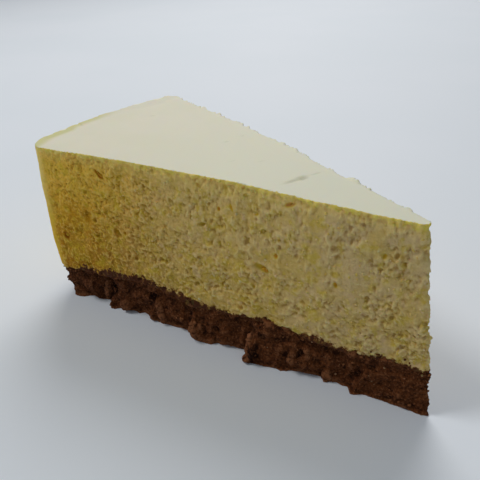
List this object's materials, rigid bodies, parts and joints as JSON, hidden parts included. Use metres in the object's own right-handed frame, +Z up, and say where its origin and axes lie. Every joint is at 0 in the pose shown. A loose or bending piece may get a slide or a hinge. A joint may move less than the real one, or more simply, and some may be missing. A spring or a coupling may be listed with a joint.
{
  "type": "slice of peach mousse cake",
  "caption": "Wedge of chilled peach mousse cake with a smooth ivory top, porous yellow cut sides and a rough base of pressed cocoa biscuit crumbs.",
  "frame": {"origin": "on the underside, at the middle of the slice's footprint box", "axes": "+Z up, +X from the outer wall to the tip, +Y to the cut on the left as seen from the wall"},
  "size_m": [0.1282, 0.0616, 0.0529],
  "materials": {
    "biscuit_base": "rough, matt, crumbly",
    "mousse": "porous and matt on the cuts, smooth and slightly moist on top"
  },
  "bodies": {
    "root": {"biscuit_base": "biscuit_base", "mousse": "mousse"}
  },
  "joints": []
}
